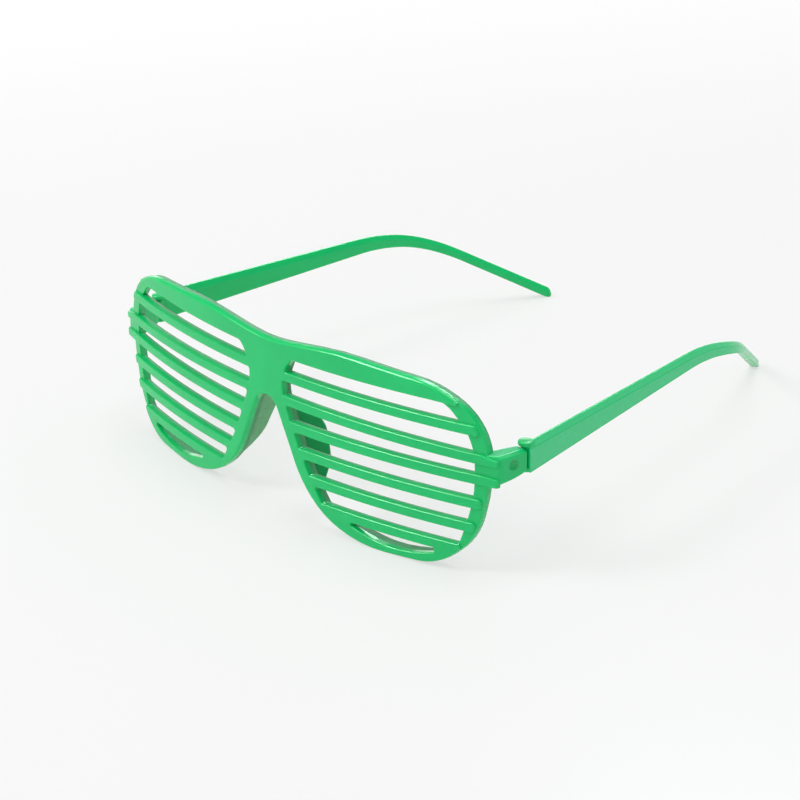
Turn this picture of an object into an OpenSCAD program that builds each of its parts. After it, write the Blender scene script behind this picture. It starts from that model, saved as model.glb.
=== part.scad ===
// Slatted party glasses: a bowed front with six slats in each eye, and two folding temples.
// The front is drawn upright, facing -Y, with its lowest edge on Z = 0, and the whole thing
// is then tipped back until the rims and the temple tips stand on the same floor.
// Left and right are the wearer's, so the left side is +X.

/* [Front] */
// Half the overall width, from the middle to the outer face of an open temple's front end
half_w = 76.5; // [76:0.1:77]
// Radius of the bow of the front, seen from above
bow_r = 252; // [248:1:256]
// Radius of the bow of its back, which thins the rims towards their outer ends
back_bow_r = 256; // [254:1:260]
// Depth of the bridge, front to back
front_t = 3.5; // [3.3:0.1:3.7]
// How far the outer rim lies behind the faces of the slats
band_drop = 0.7; // [0.5:0.1:0.9]
// Height of the brow line above the lowest edge, at the middle
brow_mid_z = 49; // [48.8:0.1:49.2]
// Height of the brow line above the lowest edge, over each eye
brow_eye_z = 52; // [51.8:0.1:52.2]
// Height of the top of the nose arch
arch_z = 32.9; // [32.7:0.1:33.1]
// How far inside the overall width the outer corners of the rims lie
rim_in = 4.5; // [4.3:0.1:4.6]

/* [Slats] */
// Number of slats in each eye
slat_count = 6; // [6]
// Height of one slat
slat_h = 2.9; // [2.6:0.1:3.1]
// Depth of one slat, front to back
slat_t = 2.6; // [2.4:0.1:3]
// Distance from one slat to the next
slat_pitch = 6.74; // [6.7:0.01:6.78]
// Height of the top slat's upper edge at its inner end
slat_top_z = 41.7; // [41.5:0.1:41.9]
// Climb of the four lower slats from their inner to their outer ends, in degrees
slat_rise = 0.9; // [0.5:0.1:1.2]
// How far a slat's end stays inside the outer edge of the rim
slat_inset = 0.3; // [0.2:0.1:0.5]
// How far inside the overall width the slats that cover the hinge lugs end
lug_slat_in = 1.5; // [1.3:0.1:1.7]

/* [Nose pads] */
// Thickness of a nose pad
pad_t = 1.5; // [1.4:0.1:1.8]
// Flare of a pad away from the nose, seen from above, in degrees
pad_flare = 13.5; // [12:0.5:16]

/* [Hinges] */
// How far inside the overall width the lug's outer face lies
lug_in = 0.5; // [0.3:0.1:0.6]
// Height of the lug's lower face
lug_z0 = 27.3; // [27.1:0.1:27.5]
// Height of the lug's upper face
lug_z1 = 34.7; // [34.6:0.1:34.8]
// Length of the lug behind the bowed face of the front
lug_l = 10.9; // [10.8:0.1:11]
// How far inside the overall width the hinge axis lies
hinge_in = 2.4; // [2.3:0.1:2.5]
// How far behind the lug's end the hinge axis lies
hinge_back = 1.4; // [1.4:0.1:1.5]
// Radius of the knuckle on the end of the lug
knuckle_r = 1.35; // [1.3:0.05:1.4]
// Height of the knuckle
knuckle_h = 4.9; // [4.5:0.1:5]
// Radius of the moulded hinge pegs
peg_r = 0.5; // [0.45:0.05:0.55]
// Gap all round a peg in its hole
peg_play = 0.05; // [0.03:0.01:0.1]
// Depth of each peg in the knuckle
peg_l = 1.8; // [1.4:0.1:2.1]
// Radius of the round ears that carry the pegs
ear_r = 2.1; // [2.1:0.05:2.2]
// Thickness of an ear
ear_t = 1.2; // [1.1:0.05:1.3]
// Gap between the moving faces of the hinge
hinge_gap = 0.3; // [0.3:0.01:0.34]
// Radius of the round dimple in the lug's outer face
dimple_r = 1; // [0.8:0.05:1.1]

/* [Temples] */
// Thickness of a temple
temple_t = 2.4; // [2.3:0.1:2.5]
// Gap between the lug's end and the temple
temple_gap = 0.5; // [0.4:0.1:0.6]
// Turn of a temple towards the head, when open, in degrees
temple_in = 7.5; // [7:0.1:8]
// Extra turn of the tip towards the head, in degrees
tip_in = 23.8; // [22:0.1:26]
// Radius of that turn at the middle of the thickness
tip_in_r = 40; // [36:1:44]
// Length of the straight part of a temple
straight_l = 86.8; // [84:0.1:88]
// Length of a tip behind its turn
tip_l = 33.6; // [32:0.1:35]
// Drop of the tip, seen from the side, in degrees
tip_drop = 31.2; // [30:0.1:32]
// Height of a temple at its front end
temple_h = 8.2; // [8.1:0.1:8.3]
// Height of the tip, square to its own length
tip_h = 2.8; // [2.8:0.1:3.2]
// Height of the temple's upper edge at its front end
temple_z = 36.3; // [36.3:0.1:36.5]

/* [Look] */
// Colour of the moulded plastic
plastic = "#37be75"; // [#37be75, #d83a7c, #2f7fd6, #f2c12e]
// Colour of the nose pads' matt faces
pad_plastic = "#5a9b68"; // [#5a9b68, #b0557a, #4d78a8, #b89a4c]

/* [Hidden] */
// Room taken by cutters and blanks: to each side, in front of, behind and above the front
reach = 100;
ahead = -5;
behind = 40;
above = 60;
// How far a cutter runs past the face that it cuts
over = 1;
// Segments of the bow and of the small round features, and degrees for each step of a rounding
fine = 360;
round_fn = 48;
peg_fn = 32;
arc_step = 7;
// Radius that only takes the sharpness off an edge
soft_r = 0.3;
hole_r = peg_r + peg_play;

// Climb of the slats above the lug, per mm, and the place where their heights are given
top_slat_rise = 0.005;
lug_slat_rise = -0.004;
slat_x0 = 10;
// Where the rim begins to carry the outer ends of the slats, and the top of its recess there
slat_end_x = half_w - 20.5;
recess_top_z = 46;

// Gap between the bridge and a pad's root, and the slant of the rim that the pad follows
pad_x = 0.3;
pad_slant = 27;

rim_half_w = half_w - rim_in;
lug_x = half_w - lug_in;
lug_slat_x = half_w - lug_slat_in;
hinge_x = half_w - hinge_in;

// The lug's root, hidden in the front, and where its inner side narrows and its bottom climbs
lug_root_w = 5.7;
lug_root_x = lug_x - lug_root_w;
lug_root_y = bow_depth(lug_root_x) - 1;
lug_end_y = bow_depth(lug_root_x) + lug_l;
lug_neck_y = lug_end_y - 5.9;
lug_climb_y = lug_end_y - 8.9;
lug_climb_r = 20;
lug_side = 0.9;
lug_end_rise = 1.3;
lug_end_in = 1.7;
knuckle_root = 0.8;
dimple_y = lug_end_y - 4.6;
dimple_up = 0.4;
dimple_out = 0.2;

hinge_y = lug_end_y + hinge_back;
temple_y = lug_end_y + temple_gap;
temple_mid_x = half_w - temple_t / 2;
knuckle_z = lug_z1 - knuckle_h;
tip_r = 1.3;
// How much is taken off the lowest points of the rims to give them flat feet
trim = 0.25;

// Corners of half the front's outline, [x, z, radius], from the brow down to the nose arch
brow_corner = [0, brow_mid_z, 59];
outer_corners = [
  [26.4, brow_eye_z, 90], [rim_half_w - 15.9, brow_eye_z - 1.4, 26], [rim_half_w, 43.4, 17],
  [rim_half_w - 0.1, 24.6, 58], [rim_half_w - 4, 10, 20], [rim_half_w - 14.3, 1.2, 17.5],
  [33.9, -0.1, 39], [15.1, 6.4, 28], [8.8, 20.6, 78], [2.9, arch_z, 4.5]
];

// Corners of one eye's opening, before the slats are set in it
low_in = [29.6, 5];
low_out = [rim_half_w - 14.7, 5.8];
low_mid = [(low_in[0] + low_out[0]) / 2 + 0.35, 0.6];
eye_corners = [
  [9.5, 45.4, 1.7], [rim_half_w - 12.2, 46.2, 7.1], [rim_half_w - 4.5, 38.4, 15],
  [rim_half_w - 3.3, 24.1, 41], [rim_half_w - 8.2, 8.9, 2.5], [low_out[0], low_out[1], 1],
  [low_mid[0], low_mid[1], fitting(low_out, low_mid, low_in, 0.91)],
  [low_in[0], low_in[1], 1], [20.8, 7.9, 1.2], [13.6, 18.1, 88], [5.9, 37.5, 9.7]
];

// Side outline of a nose pad, [y, z, radius]
pad_corners = [
  [0, 31.6, 0.4], [8, 30.2, 4], [12.2, 25, 5], [10.6, 16, 8], [4.6, 9.6, 3], [0, 8.6, 0.4]
];

function unit(v) = v / norm(v);
function flat(c) = [c[0], c[1]];
function turn(u, v) = sign(u[0] * v[1] - u[1] * v[0]);

// Radius whose rounding of corner b takes up a share of its shorter side
function fitting(a, b, c, share) =
  share * min(norm(a - b), norm(c - b)) * tan(acos(unit(a - b) * unit(c - b)) / 2);

// Points of the arc that rounds corner b between its neighbours a and c
function fillet(a, b, c) =
  let (
    u = unit(flat(a) - flat(b)),
    v = unit(flat(c) - flat(b)),
    half = acos(u * v) / 2,
    centre = flat(b) + unit(u + v) * b[2] / sin(half),
    start = flat(b) + u * b[2] / tan(half) - centre,
    sweep = -turn(u, v) * (180 - 2 * half),
    n = max(2, ceil(abs(sweep) / arc_step))
  )
  [for (i = [0:n])
    let (t = sweep * i / n)
    centre + [start[0] * cos(t) - start[1] * sin(t), start[0] * sin(t) + start[1] * cos(t)]];

// Points of a closed outline with every corner rounded to its own radius
function rounded(c) = [
  for (i = [0:len(c) - 1])
    each fillet(c[(i + len(c) - 1) % len(c)], c[i], c[(i + 1) % len(c)])
];

function mirrored(c) = [for (i = [len(c) - 1:-1:0]) [-c[i][0], c[i][1], c[i][2]]];
outline = rounded(concat([brow_corner], outer_corners, mirrored(outer_corners)));

// Height of a slat's upper edge: the slats above the lug climb less than those below it
function slat_edge(n, x) =
  slat_top_z - (n - 1) * slat_pitch
  + (n > 2 ? tan(slat_rise) : n == 2 ? lug_slat_rise : top_slat_rise) * (x - slat_x0);
function bow_depth(x) = bow_r - sqrt(bow_r * bow_r - x * x);
function back_depth(x) = front_t + back_bow_r - sqrt(back_bow_r * back_bow_r - x * x);
function back_of(y, z) = y * cos(tilt) + z * sin(tilt);

// Lowest point of a temple tip, in the upright frame of the front
tip_turn = temple_in + tip_in;
straight_end = [
  temple_mid_x - straight_l * sin(temple_in),
  temple_y + straight_l * cos(temple_in)
];
turn_end = straight_end + tip_in_r * [
  cos(tip_turn) - cos(temple_in),
  sin(tip_turn) - sin(temple_in)
];
tip_end = turn_end + tip_l * [-sin(tip_turn), cos(tip_turn)];

// Side outline of a temple: its two long edges meet the tip's edges at rounded bends
top_slope = 0.027;
low_slope = 0.078;
drop_slope = tan(tip_drop);
bend_y = 110;
top_bend_r = 64;
low_bend_r = 58;
top_bend_z = temple_z + top_slope * (bend_y - temple_y);
low_z = temple_z - temple_h;
low_bend_y = bend_y + 0.9;
low_bend_z = low_z + low_slope * (low_bend_y - temple_y);
tip_run = tip_end[1] - bend_y;
tip_top_z = top_bend_z - drop_slope * tip_run;
tip_low_y = tip_end[1] - tip_h * sin(tip_drop);
tip_low_z = tip_top_z - tip_h * cos(tip_drop);

// Tilt that brings the backs of the rims and the tips down to one floor
foot_z = min([for (c = outline) c[1]]);
foot_x = max([for (c = outline) if (c[1] == foot_z) c[0]]);
foot_y = back_depth(foot_x);
tip_centre_y = tip_low_y + tip_r * (sin(tip_drop) - cos(tip_drop)) - foot_y;
tip_centre_z = tip_low_z + tip_r * (sin(tip_drop) + cos(tip_drop)) - foot_z;
tilt = atan2(tip_centre_z, tip_centre_y)
  - asin((tip_r + trim) / norm([tip_centre_y, tip_centre_z]));
lift = foot_y * sin(tilt) - foot_z * cos(tilt) - trim;
front_y = min([for (c = outline) back_of(bow_depth(c[0]), c[1])]);
back_y = max([for (c = temple_side()) back_of(c[0], c[1])]);

// Stands the upright front frame on the floor, centred over the origin
module stand() {
  translate([0, -(front_y + back_y) / 2, lift]) rotate([-tilt, 0, 0]) children();
}

// Everything above the floor
module above_floor() {
  translate([-reach, -reach, 0]) cube([2 * reach, 2 * reach, reach]);
}

// A flat outline in X and Z, carried back along Y
module prism(points, from = ahead, to = behind) {
  translate([0, to, 0]) rotate([90, 0, 0]) linear_extrude(to - from) polygon(points);
}

// A flat outline in Y and Z, carried out along X
module side_prism(points, from, to) {
  translate([from, 0, 0]) rotate([90, 0, 90]) linear_extrude(to - from) polygon(points);
}

// The layer of the bowed front between two depths behind its face
module layer(from, to) {
  difference() {
    translate([0, bow_r, 0]) cylinder(r = bow_r - from, h = above, $fn = fine);
    translate([0, bow_r, -over]) cylinder(r = bow_r - to, h = above + 2 * over, $fn = fine);
  }
}

// Everything between a depth behind the face and the back of the front
module thickness(from = 0) {
  difference() {
    translate([0, bow_r, -over]) cylinder(r = bow_r - from, h = above + over, $fn = fine);
    translate([0, front_t + back_bow_r, -2 * over])
      cylinder(r = back_bow_r, h = above + 3 * over, $fn = fine);
  }
}

// Shapes a child for the left side, or mirrors it for the right side
module on_side(side) {
  if (side > 0) children();
  else mirror([1, 0, 0]) children();
}

module outer_prism(from = ahead, to = behind) {
  prism(outline, from, to);
}

module eye_prism() {
  prism(rounded(eye_corners));
}

// The part of the rim that lies behind the slats' outer ends
module recess() {
  intersection() {
    layer(-over, band_drop);
    prism([
      [slat_end_x, slat_edge(slat_count, slat_end_x) - slat_h],
      [reach, slat_edge(slat_count, reach) - slat_h],
      [reach, recess_top_z],
      [slat_end_x, recess_top_z]
    ]);
  }
}

module rim_body() {
  difference() {
    intersection() {
      thickness();
      outer_prism();
    }
    for (side = [-1, 1]) on_side(side) {
      eye_prism();
      recess();
    }
  }
}

module front_frame() {
  color(plastic) intersection() {
    stand() rim_body();
    above_floor();
  }
}

// The room in and around the rim from a place across the glasses outwards
module outward(x) {
  translate([x, ahead, 0]) cube([reach - x, behind - ahead, above]);
}

// One slat: a bar of the front that runs between the rims and stands proud at its outer end
module slat_body(n) {
  x1 = lug_slat_x;
  on_lug = n == 2 || n == 3;
  difference() {
    intersection() {
      layer(0, slat_t);
      prism([
        [0, slat_edge(n, 0) - slat_h], [x1, slat_edge(n, x1) - slat_h],
        [x1, slat_edge(n, x1)], [0, slat_edge(n, 0)]
      ]);
      union() {
        eye_prism();
        if (on_lug) outward(slat_end_x);
        else intersection() {
          translate([-slat_inset, 0, 0]) outer_prism();
          outward(slat_end_x);
        }
      }
    }
    difference() {
      intersection() {
        layer(band_drop, slat_t + over);
        outward(slat_end_x - over);
      }
      eye_prism();
    }
  }
}

module slat(side, n) {
  color(plastic) stand() on_side(side) slat_body(n);
}

// A thin flange that follows the nose side of the rim and flares away from the nose
module pad_body() {
  difference() {
    intersection() {
      translate([pad_x, front_t, 0]) rotate([0, 0, -pad_flare]) difference() {
        outer_prism();
        translate([pad_t / cos(pad_slant), 0, 0]) outer_prism(ahead - over, behind + over);
        translate([-reach, ahead - over, 0]) cube([reach, behind - ahead + 2 * over, above]);
      }
      side_prism(rounded(pad_corners), 0, lug_root_x);
    }
    thickness(ahead);
  }
}

module nose_pad(side) {
  color(pad_plastic) stand() on_side(side) pad_body();
}

// The block behind the outer ends of the two slats that cover it, with the hinge's knuckle
module lug_body() {
  root_l = hinge_y - lug_end_y + knuckle_root;
  difference() {
    intersection() {
      linear_extrude(above) polygon(rounded([
        [lug_root_x, lug_root_y, soft_r], [lug_x - lug_side, lug_root_y, soft_r],
        [lug_x, lug_end_y, soft_r], [hinge_x - lug_end_in, lug_end_y, soft_r],
        [lug_root_x, lug_neck_y, soft_r]
      ]));
      side_prism(rounded([
        [0, lug_z0, soft_r], [lug_climb_y, lug_z0, lug_climb_r],
        [lug_end_y, lug_z0 + lug_end_rise, 1],
        [lug_end_y, lug_z1, soft_r], [0, lug_z1, soft_r]
      ]), slat_end_x, reach);
    }
    layer(2 * ahead, band_drop);
    intersection() {
      thickness(ahead);
      outer_prism();
    }
    translate([hinge_x, hinge_y, 0])
      cylinder(r = ear_r + hinge_gap, h = knuckle_z, $fn = round_fn);
    translate([lug_x + dimple_out, dimple_y, (lug_z0 + lug_z1) / 2 + dimple_up])
      sphere(r = dimple_r, $fn = peg_fn);
  }
  translate([hinge_x, hinge_y, knuckle_z]) difference() {
    union() {
      cylinder(r = knuckle_r, h = knuckle_h, $fn = round_fn);
      translate([-knuckle_r, -root_l, 0]) cube([2 * knuckle_r, root_l, knuckle_h]);
    }
    translate([0, 0, -over]) cylinder(r = hole_r, h = knuckle_h + 2 * over, $fn = peg_fn);
  }
}

module hinge_lug(side) {
  color(plastic) stand() on_side(side) lug_body();
}

// A temple's plan: straight, then turned towards the head
function temple_plan() =
  let (
    h = temple_t / 2,
    side = [cos(temple_in), sin(temple_in)],
    tip_side = [cos(tip_turn), sin(tip_turn)],
    bend = straight_end + tip_in_r * tan(tip_in / 2) * [-sin(temple_in), cos(temple_in)],
    out = h / cos(tip_in / 2) * unit(side + tip_side),
    front = [temple_mid_x, temple_y],
    at = function(p, r) [p[0], p[1], r]
  )
  rounded([
    at(front + [h, 0], soft_r), at(bend + out, tip_in_r + h),
    at(tip_end + h * tip_side, tip_r / 2), at(tip_end - h * tip_side, tip_r / 2),
    at(bend - out, tip_in_r - h), at(front - [h, 0], soft_r)
  ]);

// A temple's side view: a deep front end that tapers to the bend, and a slim dropped tip
function temple_side() = rounded([
  [temple_y, low_z, soft_r], [low_bend_y, low_bend_z, low_bend_r],
  [tip_low_y, tip_low_z, tip_r], [tip_end[1], tip_top_z, tip_r],
  [bend_y, top_bend_z, top_bend_r], [temple_y, temple_z, soft_r]
]);

// A round ear with a peg on its underside that drops into the knuckle
module ear() {
  cylinder(r = ear_r, h = ear_t, $fn = round_fn);
  translate([0, 0, -hinge_gap - peg_l])
    cylinder(r = peg_r, h = peg_l + hinge_gap + ear_t / 2, $fn = peg_fn);
}

module temple_body() {
  room_r = knuckle_r + hinge_gap;
  room_h = knuckle_h + 2 * hinge_gap;
  difference() {
    intersection() {
      linear_extrude(above) polygon(temple_plan());
      side_prism(temple_side(), 0, reach);
    }
    translate([hinge_x, hinge_y, knuckle_z - hinge_gap]) {
      cylinder(r = room_r, h = room_h, $fn = round_fn);
      translate([-room_r, -room_r, 0]) cube([2 * room_r, room_r, room_h]);
    }
  }
  translate([hinge_x, hinge_y, 0]) {
    translate([0, 0, lug_z1 + hinge_gap]) ear();
    translate([0, 0, knuckle_z - hinge_gap]) mirror([0, 0, 1]) ear();
  }
}

module temple(side) {
  color(plastic) stand() on_side(side) temple_body();
}

front_frame();
slat(1, 1);  // slat_left_1
slat(1, 2);  // slat_left_2
slat(1, 3);  // slat_left_3
slat(1, 4);  // slat_left_4
slat(1, 5);  // slat_left_5
slat(1, 6);  // slat_left_6
slat(-1, 1);  // slat_right_1
slat(-1, 2);  // slat_right_2
slat(-1, 3);  // slat_right_3
slat(-1, 4);  // slat_right_4
slat(-1, 5);  // slat_right_5
slat(-1, 6);  // slat_right_6
nose_pad(1);  // nose_pad_left
nose_pad(-1);  // nose_pad_right
hinge_lug(1);  // hinge_lug_left
hinge_lug(-1);  // hinge_lug_right
temple(1);  // temple_left
temple(-1);  // temple_right
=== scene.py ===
import math

import bmesh
import bpy
from mathutils import Matrix, Vector
from mathutils.geometry import delaunay_2d_cdt


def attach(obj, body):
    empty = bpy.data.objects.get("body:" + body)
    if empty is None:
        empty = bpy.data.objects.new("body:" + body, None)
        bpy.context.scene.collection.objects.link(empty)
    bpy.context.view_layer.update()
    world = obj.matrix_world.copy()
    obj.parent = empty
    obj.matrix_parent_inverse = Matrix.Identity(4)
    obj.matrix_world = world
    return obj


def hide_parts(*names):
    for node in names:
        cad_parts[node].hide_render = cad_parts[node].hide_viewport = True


bl_info = {
    "name": "Slatted Party Glasses",
    "version": (1, 0, 0),
    "blender": (4, 5, 0),
    "location": "3D View > Sidebar > Party Glasses",
    "description": "Builds a pair of moulded plastic glasses with slats in place of lenses",
    "category": "Mesh",
}

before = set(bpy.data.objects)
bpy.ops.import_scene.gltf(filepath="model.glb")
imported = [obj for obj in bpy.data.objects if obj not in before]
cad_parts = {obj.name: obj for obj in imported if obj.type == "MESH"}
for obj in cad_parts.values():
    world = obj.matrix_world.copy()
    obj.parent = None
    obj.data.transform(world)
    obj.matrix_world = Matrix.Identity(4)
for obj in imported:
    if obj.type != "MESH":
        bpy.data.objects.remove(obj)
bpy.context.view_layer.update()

MM = 0.001
SIDES = {"left": 1, "right": -1}

# The glasses are drawn upright, with the front facing -Y, its face at Y = 0 at the bridge and
# its lowest edge at Z = 0. STAND then tips them back until rims and tips share one floor.
TILT = math.radians(4.36649)
LIFT = -0.0636 * MM
MIDDLE_Y = 76.4961 * MM
STAND = Matrix.Translation((0, -MIDDLE_Y, LIFT)) @ Matrix.Rotation(-TILT, 4, "X")

# Corners in millimetres, [x, z, rounding radius], from the brow down to the nose arch
BROW_CORNER = (0, 49, 59)
OUTER_CORNERS = (
    (26.4, 52, 90), (56.1, 50.6, 26), (72, 43.4, 17), (71.9, 24.6, 58), (68, 10, 20),
    (57.7, 1.2, 17.5), (33.9, -0.1, 39), (15.1, 6.4, 28), (8.8, 20.6, 78), (2.9, 32.9, 4.5),
)
EYE_CORNERS = (
    (9.5, 45.4, 1.7), (59.8, 46.2, 7.1), (67.5, 38.4, 15), (68.7, 24.1, 41), (63.8, 8.9, 2.5),
    (57.9, 5, 0.8), (44.4, 1.25, 38), (29.6, 5, 1), (20.8, 7.9, 1.2), (13.6, 18.1, 88),
    (5.9, 37.5, 9.7),
)
# What the meshes say of their surface, and its values on the flat back of the front: a painted
# edge highlight, a matt finish whose colour carries painted shade and sheen, and painted shade
# along the back edges and a darker ring round the dimple
MARKS = ("edge", "matt", "grime")
BACK_MARKS = (0, 0.35, 0)
# Side outline of a nose pad, [y, z, rounding radius]
PAD_CORNERS = (
    (0, 31.6, 0.4), (8, 30.2, 4), (12.2, 25, 5), (10.6, 16, 8), (4.6, 9.6, 3), (0, 8.6, 0.4),
)

SLAT_COUNT = 6
# Climb of the slats per length, the two upper ones first, and where their heights are given
UPPER_SLAT_RISES = (0.005, -0.004)
SLAT_RISE = math.tan(math.radians(0.9))
SLAT_X0 = 10 * MM
# Upper edge of the top slot: its height at its inner end, where that is, and its climb
TOP_SLOT_Z, TOP_SLOT_X0, TOP_SLOT_RISE = 45.4 * MM, 9.5 * MM, 0.8 / 50.3
# Top of the recess in which the slats' outer ends lie
RECESS_TOP_Z = 46 * MM
# Ranges of x in which the rims' inner and outer sides are looked for
INNER_SIDE = (0, 35 * MM)
OUTER_SIDE = (55 * MM, 75 * MM)
# The outer ends of the two slats that run over the lugs
LUG_SLATS = (2, 3)
LUG_SLAT_END = 75 * MM
# How finely the front is cut across, so that it can bend
SLICE = 1.5 * MM
PEG_HOLE_R = 0.55 * MM
# Inner side of a lug's root
LUG_ROOT_X = 70.3 * MM


class GlassesFrontSizes(bpy.types.PropertyGroup):
    """Sizes of the bowed front and its slats"""

    bow_r: bpy.props.FloatProperty(
        name="Bow radius", description="Radius of the front's face, seen from above",
        default=252 * MM, unit="LENGTH")
    back_bow_r: bpy.props.FloatProperty(
        name="Back bow radius", description="Radius of the back of the rims, seen from above",
        default=256 * MM, unit="LENGTH")
    front_t: bpy.props.FloatProperty(
        name="Front depth", description="Depth of the bridge, front to back",
        default=3.5 * MM, unit="LENGTH")
    band_drop: bpy.props.FloatProperty(
        name="Band drop", description="How far the outer rim lies behind the slats' faces",
        default=0.7 * MM, unit="LENGTH")
    slat_h: bpy.props.FloatProperty(
        name="Slat height", description="Height of one slat", default=2.9 * MM, unit="LENGTH")
    slat_t: bpy.props.FloatProperty(
        name="Slat depth", description="Depth of one slat, front to back",
        default=2.6 * MM, unit="LENGTH")
    slat_pitch: bpy.props.FloatProperty(
        name="Slat pitch", description="Distance from one slat to the next",
        default=6.74 * MM, unit="LENGTH")
    slat_top_z: bpy.props.FloatProperty(
        name="Top slat height", description="Height of the top slat's upper edge at its inner end",
        default=41.7 * MM, unit="LENGTH")
    edge_r: bpy.props.FloatProperty(
        name="Edge rounding", description="Width of the rounded edges of the front's face",
        default=0.38 * MM, unit="LENGTH")
    brow_edge: bpy.props.FloatProperty(
        name="Brow edge", description="How many times wider the rounding along the brow is",
        default=2.1, min=1, max=3)
    parting: bpy.props.FloatProperty(
        name="Parting line", description="Depth of the mould's parting line behind the face",
        default=1.6 * MM, unit="LENGTH")
    draft: bpy.props.FloatProperty(
        name="Draft", description="Lean of the sides away from the parting line",
        default=math.radians(4), subtype="ANGLE")


class GlassesHingeSizes(bpy.types.PropertyGroup):
    """Sizes of the lugs, the hinges and the nose pads"""

    lug_x: bpy.props.FloatProperty(
        name="Lug face", description="Outer face of a lug, from the middle",
        default=76 * MM, unit="LENGTH")
    lug_z0: bpy.props.FloatProperty(
        name="Lug bottom", description="Height of a lug's lower face",
        default=27.3 * MM, unit="LENGTH")
    lug_z1: bpy.props.FloatProperty(
        name="Lug top", description="Height of a lug's upper face",
        default=34.7 * MM, unit="LENGTH")
    lug_end_y: bpy.props.FloatProperty(
        name="Lug end", description="End of a lug behind the bridge's face",
        default=20.9 * MM, unit="LENGTH")
    hinge_x: bpy.props.FloatProperty(
        name="Hinge across", description="Place of the hinge axis, from the middle",
        default=74.1 * MM, unit="LENGTH")
    hinge_y: bpy.props.FloatProperty(
        name="Hinge behind", description="Place of the hinge axis behind the bridge's face",
        default=22.3 * MM, unit="LENGTH")
    ear_r: bpy.props.FloatProperty(
        name="Ear radius", description="Radius of the round ears", default=2.1 * MM, unit="LENGTH")
    ear_t: bpy.props.FloatProperty(
        name="Ear thickness", description="Thickness of an ear", default=1.2 * MM, unit="LENGTH")
    knuckle_r: bpy.props.FloatProperty(
        name="Knuckle radius", description="Radius of the lug's knuckle",
        default=1.35 * MM, unit="LENGTH")
    knuckle_h: bpy.props.FloatProperty(
        name="Knuckle height", description="Height of the lug's knuckle",
        default=4.9 * MM, unit="LENGTH")
    hinge_gap: bpy.props.FloatProperty(
        name="Hinge gap", description="Gap between the hinge's moving faces",
        default=0.3 * MM, unit="LENGTH")
    dimple_r: bpy.props.FloatProperty(
        name="Dimple radius", description="Radius of the dimple in a lug's outer face",
        default=1 * MM, unit="LENGTH")
    pad_t: bpy.props.FloatProperty(
        name="Pad thickness", description="Thickness of a nose pad",
        default=1.5 * MM, unit="LENGTH")
    pad_flare: bpy.props.FloatProperty(
        name="Pad flare", description="Turn of a pad away from the nose, seen from above",
        default=math.radians(13.5), subtype="ANGLE")


class GlassesTempleSizes(bpy.types.PropertyGroup):
    """Sizes of the temples"""

    temple_x: bpy.props.FloatProperty(
        name="Half width", description="Outer face of a temple at its front end, from the middle",
        default=76.5 * MM, unit="LENGTH")
    temple_t: bpy.props.FloatProperty(
        name="Thickness", description="Thickness of a temple", default=2.4 * MM, unit="LENGTH")
    temple_gap: bpy.props.FloatProperty(
        name="End gap", description="Gap between a lug's end and the temple",
        default=0.5 * MM, unit="LENGTH")
    temple_in: bpy.props.FloatProperty(
        name="Turn in", description="Turn of an open temple towards the head",
        default=math.radians(7.5), subtype="ANGLE")
    tip_in: bpy.props.FloatProperty(
        name="Tip turn in", description="Extra turn of the tip towards the head",
        default=math.radians(23.8), subtype="ANGLE")
    tip_in_r: bpy.props.FloatProperty(
        name="Turn radius", description="Radius of the tip's turn", default=40 * MM, unit="LENGTH")
    straight_l: bpy.props.FloatProperty(
        name="Straight length", description="Length of a temple's straight part",
        default=86.8 * MM, unit="LENGTH")
    tip_l: bpy.props.FloatProperty(
        name="Tip length", description="Length of a tip behind its turn",
        default=33.6 * MM, unit="LENGTH")
    tip_drop: bpy.props.FloatProperty(
        name="Tip drop", description="Drop of the tip, seen from the side",
        default=math.radians(31.2), subtype="ANGLE")
    temple_h: bpy.props.FloatProperty(
        name="Height", description="Height of a temple at its front end",
        default=8.2 * MM, unit="LENGTH")
    tip_h: bpy.props.FloatProperty(
        name="Tip height", description="Height of the tip, square to its length",
        default=2.8 * MM, unit="LENGTH")
    temple_z: bpy.props.FloatProperty(
        name="Top height", description="Height of the temple's upper edge at its front end",
        default=36.3 * MM, unit="LENGTH")
    ridge_drop: bpy.props.FloatProperty(
        name="Ridge drop", description="How far the faces' upper creases lie below the ridge",
        default=1.6 * MM, unit="LENGTH")


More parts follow.
